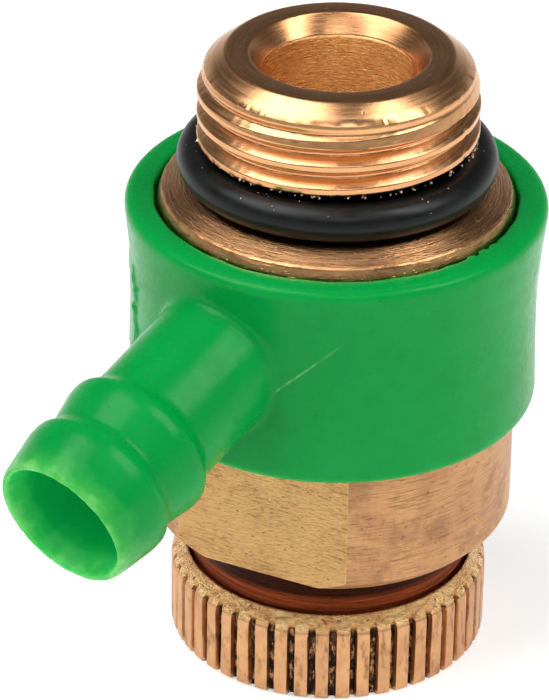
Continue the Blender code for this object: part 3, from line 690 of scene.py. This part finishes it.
def stem_path():
    """The stem's outline from the thread's lower end, down, inside and up to the thread's top."""
    groove_r, top = 9.1, STEM_TOP
    return rounded([
        (THREAD_R, THREAD_END, 0), (RELIEF_R, THREAD_END - 0.5, 0.1), (RELIEF_R, FLANGE_TOP, 0.25),
        (FLANGE_FLAT_R, FLANGE_TOP, 0.3), (FLANGE_R, FLANGE_EDGE, 0.18),
        (FLANGE_FOOT_R, FLANGE_FOOT_Z, 0.1), (FLANGE_FOOT_R, FLANGE_UNDERSIDE, 0.15),
        (JOURNAL_R, FLANGE_UNDERSIDE, 0.1),
        (JOURNAL_R, 34.9, 0.1), (groove_r, 34.9, 0), (groove_r, 33.3, 0), (JOURNAL_R, 33.3, 0.1),
        (JOURNAL_R, 32.5, 0.1), (9.2, 32.5, 0), (9.2, 27.5, 0), (JOURNAL_R, 27.5, 0.1),
        (JOURNAL_R, 25.1, 0.1), (groove_r, 25.1, 0), (groove_r, 23.5, 0), (JOURNAL_R, 23.5, 0.1),
        (JOURNAL_R, 21.4, 0.1), (9.6, 21.4, 0), (9.6, STEM_BOTTOM, 0.2), (5.0, STEM_BOTTOM, 0.2),
        (5.0, 14.5, 0), (5.5, 14.5, 0), (5.5, 15.8, 0), (5.0, 15.8, 0), (5.0, 19.0, 0),
        (4.6, 19.0, 0), (4.6, 31.7, 0.3), (2.6, 31.7, 0), (2.6, 31.0, 0.1), (1.5, 31.0, 0.1),
        (1.5, 33.0, 0.15), (4.3, 33.0, 0.2), (4.3, 34.0, 0.1), (BORE_R, 34.0, 0.1),
        (BORE_R, top - COUNTERSINK_DEPTH, 0.15), (COUNTERSINK_R, top, 0.16),
        (END_FACE_R, top, 0.22), (THREAD_LEAD_R, CHAMFER_END, 0)], steps=4)


def build_stem():
    """Spigot, flange and hidden journal as one closed skin."""
    thread, faces = spigot_thread()
    path = stem_path()
    closing = len(path)
    fine = refined(path, 1.2)
    last = np.flatnonzero((fine == path[closing - 1]).all(axis=1))[0]
    path = fine[:last + 1]
    angle = np.tile(np.arange(AROUND) * math.tau / AROUND, len(path))
    radius = np.repeat(path[:, 0], AROUND)
    height = np.repeat(path[:, 1], AROUND)
    radius[:AROUND] = thread_radius(height[:AROUND], angle[:AROUND])
    edge = np.exp(-((radius - FLANGE_R) / 0.25) ** 2) * (np.abs(height - FLANGE_EDGE) < 0.4)
    radius = radius + edge * 0.02 * waves(angle, 11, 12, 9, 70)
    skin = np.stack([radius * np.cos(angle), radius * np.sin(angle), height], axis=1)
    offset = len(thread)
    for quad in grid_faces(len(path), AROUND, closed_rows=False):
        faces.append(tuple(offset + corner for corner in quad))
    stem = make_object("spigot_and_journal", np.vstack([thread, skin]), faces, spigot_brass(), 38)
    return show(stem, "fitting", "stem_brass", "inlet_stem")


# ------------------------------------------------------------------- the O-ring

def build_ring():
    """O-ring with its moulding line and the grit that sticks to it."""
    turns = np.linspace(0, math.tau, 49)[:-1]
    flash = 0.03 * np.exp(-(turns / 0.06) ** 2)
    outline = np.stack([RING_R + (RING_TUBE_R + flash) * np.cos(turns),
                        RING_Z + (RING_TUBE_R + flash) * np.sin(turns)], axis=1)

    def uneven(radius, height, angle):
        return radius + 0.02 * waves(angle, 3, 5, 2, 6), height

    ring = turned("spigot_ring", outline, rubber("ring_rubber", 0.8), shape=uneven, sharp_deg=None)
    return show(ring, "fitting", "o_ring_rubber", "spigot_o_ring")


def crumbs(name, count, seed, place, size, material):
    """Scattered irregular chips; place(draw) gives each one's centre in mm."""
    draw = np.random.default_rng(seed)
    bm = bmesh.new()
    for _ in range(count):
        spot = Matrix.Translation(Vector(place(draw)))
        turn = Matrix.Rotation(draw.uniform(0, math.tau), 4, Vector(draw.normal(size=3)))
        scale = draw.uniform(*size)
        shape = Matrix.Diagonal((*(scale * draw.uniform(0.4, 1.3, 3)), 1.0))
        made = bmesh.ops.create_icosphere(bm, subdivisions=1, radius=1.0, matrix=spot @ turn @ shape)
        for vert in made["verts"]:
            vert.co += Vector(draw.normal(size=3)) * scale * 0.22
    bmesh.ops.scale(bm, vec=(MM, MM, MM), verts=bm.verts[:])
    mesh = bpy.data.meshes.new(name)
    bm.to_mesh(mesh)
    bm.free()
    mesh.materials.append(material)
    obj = bpy.data.objects.new(name, mesh)
    bpy.context.scene.collection.objects.link(obj)
    return obj


def build_grit():
    """Brass dust on the O-ring and flange, left by the threads."""
    s = Shader("brass_chips")
    tone = s.noise(s.position, 3.0, 2.0)
    chips = s.finish(
        Base_Color=s.mix(tone, (0.55, 0.38, 0.24), (0.85, 0.72, 0.55)), Metallic=0.6,
        Roughness=s.span(tone, 0.3, 0.7, 0.3, 0.5))

    def on_ring(draw):
        angle = draw.uniform(0, math.tau)
        up = math.radians(draw.uniform(15, 120))
        radius = RING_R + (RING_TUBE_R + 0.01) * math.cos(up)
        return (radius * math.cos(angle), radius * math.sin(angle),
                RING_Z + (RING_TUBE_R + 0.01) * math.sin(up))

    def on_thread_end(draw):
        angle = draw.uniform(0, math.tau)
        radius = THREAD_R - draw.uniform(0.0, 0.35)
        return (radius * math.cos(angle), radius * math.sin(angle),
                THREAD_END - draw.uniform(0.0, 0.10))

    show(crumbs("ring_grit", 46, 8, on_ring, (0.025, 0.075), chips), "fitting", "stem_brass")
    burrs = crumbs("thread_burrs", 130, 12, on_thread_end, (0.04, 0.13), chips)
    return show(burrs, "fitting", "stem_brass")


# ------------------------------------------------------------------- the collar

def tail_radius(along):
    """Outer radius of the hose tail: two soft barbs with their steep side inward."""
    nose = TAIL_R + 0.2
    first, second = TAIL_BARBS_S
    stations = [0, first, first + 1.1, first + 1.9, second, second + 1.0, second + 1.9,
                TAIL_END_S - 0.3, TAIL_END_S + 5]
    radii = [TAIL_R, TAIL_R, TAIL_BARB_R, TAIL_BARB_R, nose, TAIL_BARB_R, TAIL_BARB_R, nose, nose]
    total = np.zeros_like(along)
    spread = np.linspace(-0.2, 0.2, 5)
    for shift in spread:
        total += np.interp(along + shift, stations, radii) / len(spread)
    return total


def collar_field(points):
    """Below zero inside the collar moulding, near true distance close to its surface."""
    x, y, z = points.T
    radius = np.hypot(x, y)
    angle = np.arctan2(y, x)
    section = np.array(COLLAR_SECTION)[::-1]
    barrel = radius - np.interp(z, section[:, 0], section[:, 1])
    bearing = np.degrees(np.arctan2(x, -y))
    edge = FLASH_ARC[1] + 1.2 * np.sin(z * 1.9) + 0.7 * np.sin(z * 5.3)
    across = np.clip(edge - bearing, 0, 0.8) / 0.8 * np.clip((bearing - FLASH_ARC[0]) / 6, 0, 1)
    upright = np.clip((z - FLASH_HEIGHTS[0]) / 1.5, 0, 1) * np.clip((FLASH_HEIGHTS[1] - z) / 1.0, 0, 1)
    fin = np.exp(-((edge - bearing - 1.0) / 0.5) ** 2) * (1 + 0.5 * np.sin(z * 3.7))
    barrel = barrel - upright * (FLASH_RISE * across + 0.10 * fin)
    barrel = smooth_max(barrel, z - COLLAR_TOP, 0.8)
    barrel = smooth_max(barrel, COLLAR_BOTTOM - z, 0.7)
    along = -y * math.cos(TAIL_DROOP) - (z - TAIL_AXIS_Z) * math.sin(TAIL_DROOP)
    up = -y * math.sin(TAIL_DROOP) + (z - TAIL_AXIS_Z) * math.cos(TAIL_DROOP)
    around_tail = np.hypot(x, up)
    tail = smooth_max(around_tail - tail_radius(along), along - TAIL_END_S, 0.9)
    tail = np.maximum(tail, 12.5 - along)
    body = smooth_min(barrel, tail, 0.6)
    lip = np.interp(along, [TAIL_END_S - TAIL_LIP_DEPTH, TAIL_END_S], [TAIL_BORE_R, TAIL_LIP_R])
    tube = np.maximum(around_tail - lip, TAIL_BORE_FLOOR_S - along)
    passage = np.maximum(around_tail - TAIL_PASSAGE_R, 9.0 - along)
    ragged = 0.04 * waves(angle, 21, 8, 3, 30)
    torn = np.exp(-((bearing - RIM_TEAR) / 13) ** 2)
    ragged = ragged + torn * (0.16 * waves(angle, 22, 8, 30, 90) - 0.04)
    ragged = np.clip(ragged, -0.2, 0.3)
    step = smooth_max(radius - COUNTERBORE_R - ragged, COUNTERBORE_FLOOR - z, 0.2)
    hollow = np.minimum(np.minimum(radius - COLLAR_BORE_R, step), np.minimum(tube, passage))
    return smooth_max(body, -hollow, 0.35)


def surface_net(field, low, high, cell):
    """Closed quad mesh of field = 0, with one vertex in each cell that it crosses."""
    axes = [np.arange(start, end + cell, cell) for start, end in zip(low, high)]
    grid = np.stack(np.meshgrid(*axes, indexing="ij"), axis=-1)
    counts = grid.shape[:3]
    values = field(grid.reshape(-1, 3)).reshape(counts)
    cells = tuple(count - 1 for count in counts)
    total = np.zeros((*cells, 3))
    hits = np.zeros(cells)

    def corner(array, shift):
        return array[tuple(slice(s, s + c) for s, c in zip(shift, cells))]

    for axis in range(3):
        for first in np.ndindex(2, 2, 2):
            if first[axis]:
                continue
            second = tuple(v + (i == axis) for i, v in enumerate(first))
            a, b = corner(values, first), corner(values, second)
            crossed = (a < 0) != (b < 0)
            share = np.where(crossed, a / np.where(crossed, a - b, 1.0), 0.0)[..., None]
            point = corner(grid, first) * (1 - share) + corner(grid, second) * share
            total += point * crossed[..., None]
            hits += crossed
    used = hits > 0
    number = np.full(cells, -1)
    number[used] = np.arange(used.sum())
    verts = total[used] / hits[used][:, None]
    quads = []
    for axis in range(3):
        b, c = [i for i in range(3) if i != axis]
        window = [slice(1, n - 1) for n in counts]
        window[axis] = slice(0, counts[axis] - 1)
        ahead = list(window)
        ahead[axis] = slice(1, counts[axis])
        here, there = values[tuple(window)] < 0, values[tuple(ahead)] < 0
        places = np.argwhere(here != there)
        places[:, b] += 1
        places[:, c] += 1
        leaves = here[here != there]
        ring = []
        for db, dc in ((0, 0), (1, 0), (1, 1), (0, 1)):
            cell_index = places.copy()
            cell_index[:, b] -= db
            cell_index[:, c] -= dc
            ring.append(number[tuple(cell_index.T)])
        quad = np.stack(ring, axis=1)
        flip = leaves if axis != 1 else ~leaves
        quad[flip] = quad[flip][:, ::-1]
        quads.append(quad)
    return verts, np.vstack(quads)


def settle(field, verts, rounds=4, reach=0.02):
    """Move vertices on to the surface field = 0."""
    for _ in range(rounds):
        slope = np.zeros_like(verts)
        for axis in range(3):
            step = np.zeros(3)
            step[axis] = reach
            slope[:, axis] = (field(verts + step) - field(verts - step)) / (2 * reach)
        size = np.maximum((slope ** 2).sum(axis=1), 0.2)
        move = (field(verts) / size)[:, None] * slope
        verts = verts - np.clip(move, -0.1, 0.1)
    return verts


def build_collar():
    low = (-COLLAR_RIM_R - 0.6, -TAIL_END_S - 0.9, 17.5)
    high = (COLLAR_RIM_R + 0.6, COLLAR_RIM_R + 0.6, COLLAR_TOP + 0.6)
    verts, quads = surface_net(collar_field, low, high, COLLAR_CELL)
    verts = settle(collar_field, verts)
    collar = make_object("drain_collar", verts, quads.tolist(), collar_plastic(), None, merge=False)
    return show(collar, "collar", "collar_plastic", "swivel_collar")


# ------------------------------------------------------------- the wrench body

def flat_limit(angle):
    """Distance from the axis to the wrench flats in a direction."""
    reach = np.full_like(angle, 99.0)
    for side in (0, math.pi):
        lean = np.cos(angle - (FLAT_TURN - math.pi / 2 + side))
        hit = lean > 0.3
        reach[hit] = np.minimum(reach[hit], FLAT_DISTANCE / lean[hit])
    return reach


def body_angles():
    """Even directions, with more of them at the flats' four edges."""
    half = math.acos(FLAT_DISTANCE / BODY_R)
    angles = list(np.arange(360) * math.tau / 360)
    for side in (0, math.pi):
        for edge in (-half, half):
            middle = FLAT_TURN - math.pi / 2 + side + edge
            angles += [middle + shift for shift in np.linspace(-0.012, 0.012, 9)]
    return np.unique(np.round(np.mod(angles, math.tau), 6))


def build_body():
    outline = rounded([
        (BODY_BORE_R, BODY_TOP, 0.1), (BODY_R, BODY_TOP, 0.12),
        (BODY_R, BODY_BOTTOM + BODY_CHAMFER, 0.25), (BODY_R - BODY_CHAMFER, BODY_BOTTOM, 0.12),
        (NECK_R, BODY_BOTTOM, 0.15), (NECK_R, 5.2, 0), (9.5, 5.2, 0), (9.5, 3.6, 0),
        (NECK_R, 3.6, 0), (NECK_R, BODY_NECK_END, 0.1), (NECK_BORE_R, BODY_NECK_END, 0.1),
        (NECK_BORE_R, 11.4, 0), (6.0, 11.4, 0.1), (6.0, 12.4, 0.1), (BODY_BORE_R, 12.4, 0)])
    outline = refined(outline, 0.14, NECK_R - 0.01)

    def milled(radius, height, angle):
        outside = (height > BODY_BOTTOM - 0.01) & (radius > NECK_R + 0.05)
        nick = 0.03 * np.maximum(0, waves(angle, 31, 10, 20, 160) - 0.9)
        low = np.clip(1 - (height - BODY_BOTTOM) / 0.12, 0, 1)
        limit = flat_limit(angle) - (0.05 * low + nick * low)
        cut = smooth_min(radius, limit, 0.04)
        radius = np.where(outside, cut, radius)
        on_neck = (height < BODY_BOTTOM - 0.1) & (height > 6.0) & (radius > NECK_R - 0.3)
        ridge = 0.016 * np.sin(math.tau * height / 0.42 + angle) + 0.010 * np.sin(
            math.tau * height / 0.29 + 1.3)
        return np.where(on_neck, radius + ridge, radius), height

    body = turned("spanner_body", outline, body_brass(), shape=milled, sharp_deg=32,
                  angles=body_angles())
    return show(body, "fitting", "body_brass", "wrench_body")


# ------------------------------------------------------------------- the knob

def knurl_angles():
    half = KNURL_WIDTH / 2 / KNOB_R
    pattern = [-1.35, -1.12, -1.0, -0.9, -0.78, -0.45, 0.0, 0.45, 0.78, 0.9, 1.0, 1.12, 1.35]
    pitch = math.tau / KNURL_COUNT
    angles = []
    for index in range(KNURL_COUNT):
        middle = KNURL_TURN + pitch * index
        angles += [middle + half * share for share in pattern]
        angles.append(middle + pitch / 2)
    return np.unique(np.round(np.mod(angles, math.tau), 7))


def build_knob():
    shoulder_low = KNOB_TOP - KNOB_SHOULDER_DROP
    outline = rounded([
        (0.0, 0.0, 0), (KNOB_R, 0.0, 0.3), (KNOB_R, shoulder_low - 0.2, 0.75),
        (KNOB_SHOULDER_R, KNOB_TOP, 0.15), (KNOB_CAVITY_R, KNOB_TOP, 0.05),
        (KNOB_CAVITY_R, KNOB_FLOOR_Z, 0.2), (4.0, KNOB_FLOOR_Z, 0), (4.0, 2.9, 0.1), (0.0, 2.9, 0)],
        steps=4)
    pieces = []
    for start, end in zip(outline, np.roll(outline, -1, axis=0)):
        outer = min(start[0], end[0]) > KNOB_SHOULDER_R - 0.3
        step = 0.35 if outer else 3.0
        if outer and max(start[1], end[1]) > shoulder_low - 0.7:
            step = 0.09
        parts = max(1, int(np.linalg.norm(end - start) / step))
        pieces += [start + (end - start) * part / parts for part in range(parts)]
    draw = np.random.default_rng(17)
    widths = draw.uniform(0.86, 1.10, KNURL_COUNT)
    depths = draw.uniform(0.88, 1.06, KNURL_COUNT)
    leans = draw.uniform(-0.05, 0.05, KNURL_COUNT)

    def knurled(radius, height, angle):
        pitch = math.tau / KNURL_COUNT
        turn = np.mod(angle - KNURL_TURN + pitch / 2, math.tau)
        index = np.minimum((turn / pitch).astype(int), KNURL_COUNT - 1)
        offset = (turn - (index + 0.5) * pitch) * KNOB_R / (KNURL_WIDTH / 2)
        offset = offset / widths[index] + leans[index] * (height - 3.0) * 0.3
        share = np.clip((1.12 - np.abs(offset)) / 0.34, 0, 1) ** 0.8
        share = share * (1 - 0.12 * np.clip(offset, -1, 1) ** 2)
        rough = 0.03 * np.sin(height * 7.0 + index * 2.1) * np.sin(height * 3.1 + index)
        floor = KNOB_R - share * (KNURL_DEPTH * depths[index] + rough)
        side = (radius > KNOB_SHOULDER_R + 0.02) & (share > 0)
        return np.where(side, np.minimum(radius, floor), radius), height

    knob = turned("knurled_knob", np.array(pieces), knob_brass(), shape=knurled, sharp_deg=40,
                  angles=knurl_angles())
    return show(knob, "knob", "knob_brass", "knob")


# ------------------------------------------------------------ hidden CAD pieces

def dress_hidden():
    """Finishes for the CAD nodes that stay: discs, seals, spring, clips and pin."""
    finishes = {"spring_steel": spring_steel(), "seal_rubber": rubber("seal_rubber", 0.0),
                "fibre_board": pressed_fibre(), "pin_brass": spigot_brass()}
    for entry in frame["record"]["subparts"]:
        finish = finishes.get(entry["material_slot"])
        if finish is not None:
            mesh = frame["nodes"][entry["node"]].data
            mesh.materials.clear()
            mesh.materials.append(finish)


# --------------------------------------------------------- floor, light, camera

def build_floor():
    s = Shader("studio_floor")
    paper = s.noise(s.position, 0.02, 3.0)
    floor_paint = s.finish(
        Base_Color=s.mix(paper, (0.84, 0.84, 0.84), (0.88, 0.88, 0.88)), Roughness=0.7,
        Emission_Color=(1.0, 1.0, 1.0), Emission_Strength=FLOOR_GLOW)
    bm = bmesh.new()
    bmesh.ops.create_grid(bm, x_segments=4, y_segments=4, size=1.2)
    mesh = bpy.data.meshes.new("floor")
    bm.to_mesh(mesh)
    bm.free()
    mesh.materials.append(floor_paint)
    floor = bpy.data.objects.new("floor", mesh)
    bpy.context.scene.collection.objects.link(floor)


def add_light(name, turn_deg, rise_deg, distance, size, power, colour=(1, 1, 1), aim=(0, 0, 0.03)):
    """Softbox; turn is measured from the camera's side, positive to its right."""
    turn = math.radians(CAMERA_TURN + turn_deg)
    rise = math.radians(rise_deg)
    away = Vector((math.sin(turn) * math.cos(rise), -math.cos(turn) * math.cos(rise), math.sin(rise)))
    lamp = bpy.data.lights.new(name, "AREA")
    lamp.shape = "RECTANGLE"
    lamp.size, lamp.size_y = size
    lamp.energy = power
    lamp.color = colour
    obj = bpy.data.objects.new(name, lamp)
    obj.location = Vector(aim) + away * distance
    obj.rotation_euler = away.to_track_quat("Z", "Y").to_euler()
    bpy.context.scene.collection.objects.link(obj)
    return obj


def build_world():
    """Bright horizon, dim above, as in a small white studio."""
    world = bpy.data.worlds.new("studio")
    bpy.context.scene.world = world
    world.use_nodes = True
    tree = world.node_tree
    coords = tree.nodes.new("ShaderNodeTexCoord")
    split = tree.nodes.new("ShaderNodeSeparateXYZ")
    ramp = tree.nodes.new("ShaderNodeValToRGB")
    tree.links.new(coords.outputs["Generated"], split.inputs[0])
    tree.links.new(split.outputs["Z"], ramp.inputs["Fac"])
    tree.links.new(ramp.outputs["Color"], tree.nodes["Background"].inputs["Color"])
    levels = ((0.0, 0.90), (0.10, 0.62), (0.28, 0.20), (0.50, 0.10), (1.0, 0.11))
    elements = ramp.color_ramp.elements
    while len(elements) < len(levels):
        elements.new(0.5)
    for element, (place, level) in zip(elements, levels):
        element.position = place
        element.color = (level, level, level, 1.0)
    tree.nodes["Background"].inputs["Strength"].default_value = WORLD_STRENGTH


CAMERA_TURN = 36.02
WORLD_STRENGTH = 0.8
FLOOR_GLOW = 0.42                  # the floor is a lit table


def build_lights():
    add_light("softbox_left", -72, 60, 0.55, (0.42, 0.42), 2.7)
    add_light("softbox_right", 72, 50, 0.55, (0.20, 0.40), 1.5)
    add_light("softbox_front", 4, 47, 0.60, (0.30, 0.10), 0.42)


def build_camera():
    """Camera looking down on the vent, with the hose tail to the left."""
    place = Vector((0.0, -263.8, STEM_TOP + 127.5)) * MM
    right = Vector((0.99960829, 0.02459043, 0.01336348))
    up = Vector((-0.02388893, 0.50092809, 0.86515916))
    ahead = Vector((-0.0145805, 0.8651395, -0.50131931))
    turn = Matrix.Rotation(math.radians(CAMERA_TURN), 4, "Z")
    pose = Matrix((right, up, -ahead)).transposed().to_4x4()
    pose.translation = place
    data = bpy.data.cameras.new("camera")
    data.lens = 205.9
    data.sensor_width = 36.0
    data.clip_start = 0.01
    camera = bpy.data.objects.new("camera", data)
    camera.matrix_world = turn @ pose
    bpy.context.scene.collection.objects.link(camera)
    bpy.context.scene.camera = camera


def main():
    build_stem()
    build_ring()
    build_grit()
    build_collar()
    build_body()
    build_knob()
    dress_hidden()
    build_floor()
    build_world()
    build_lights()
    build_camera()
    bpy.context.scene.view_settings.view_transform = "Standard"


main()
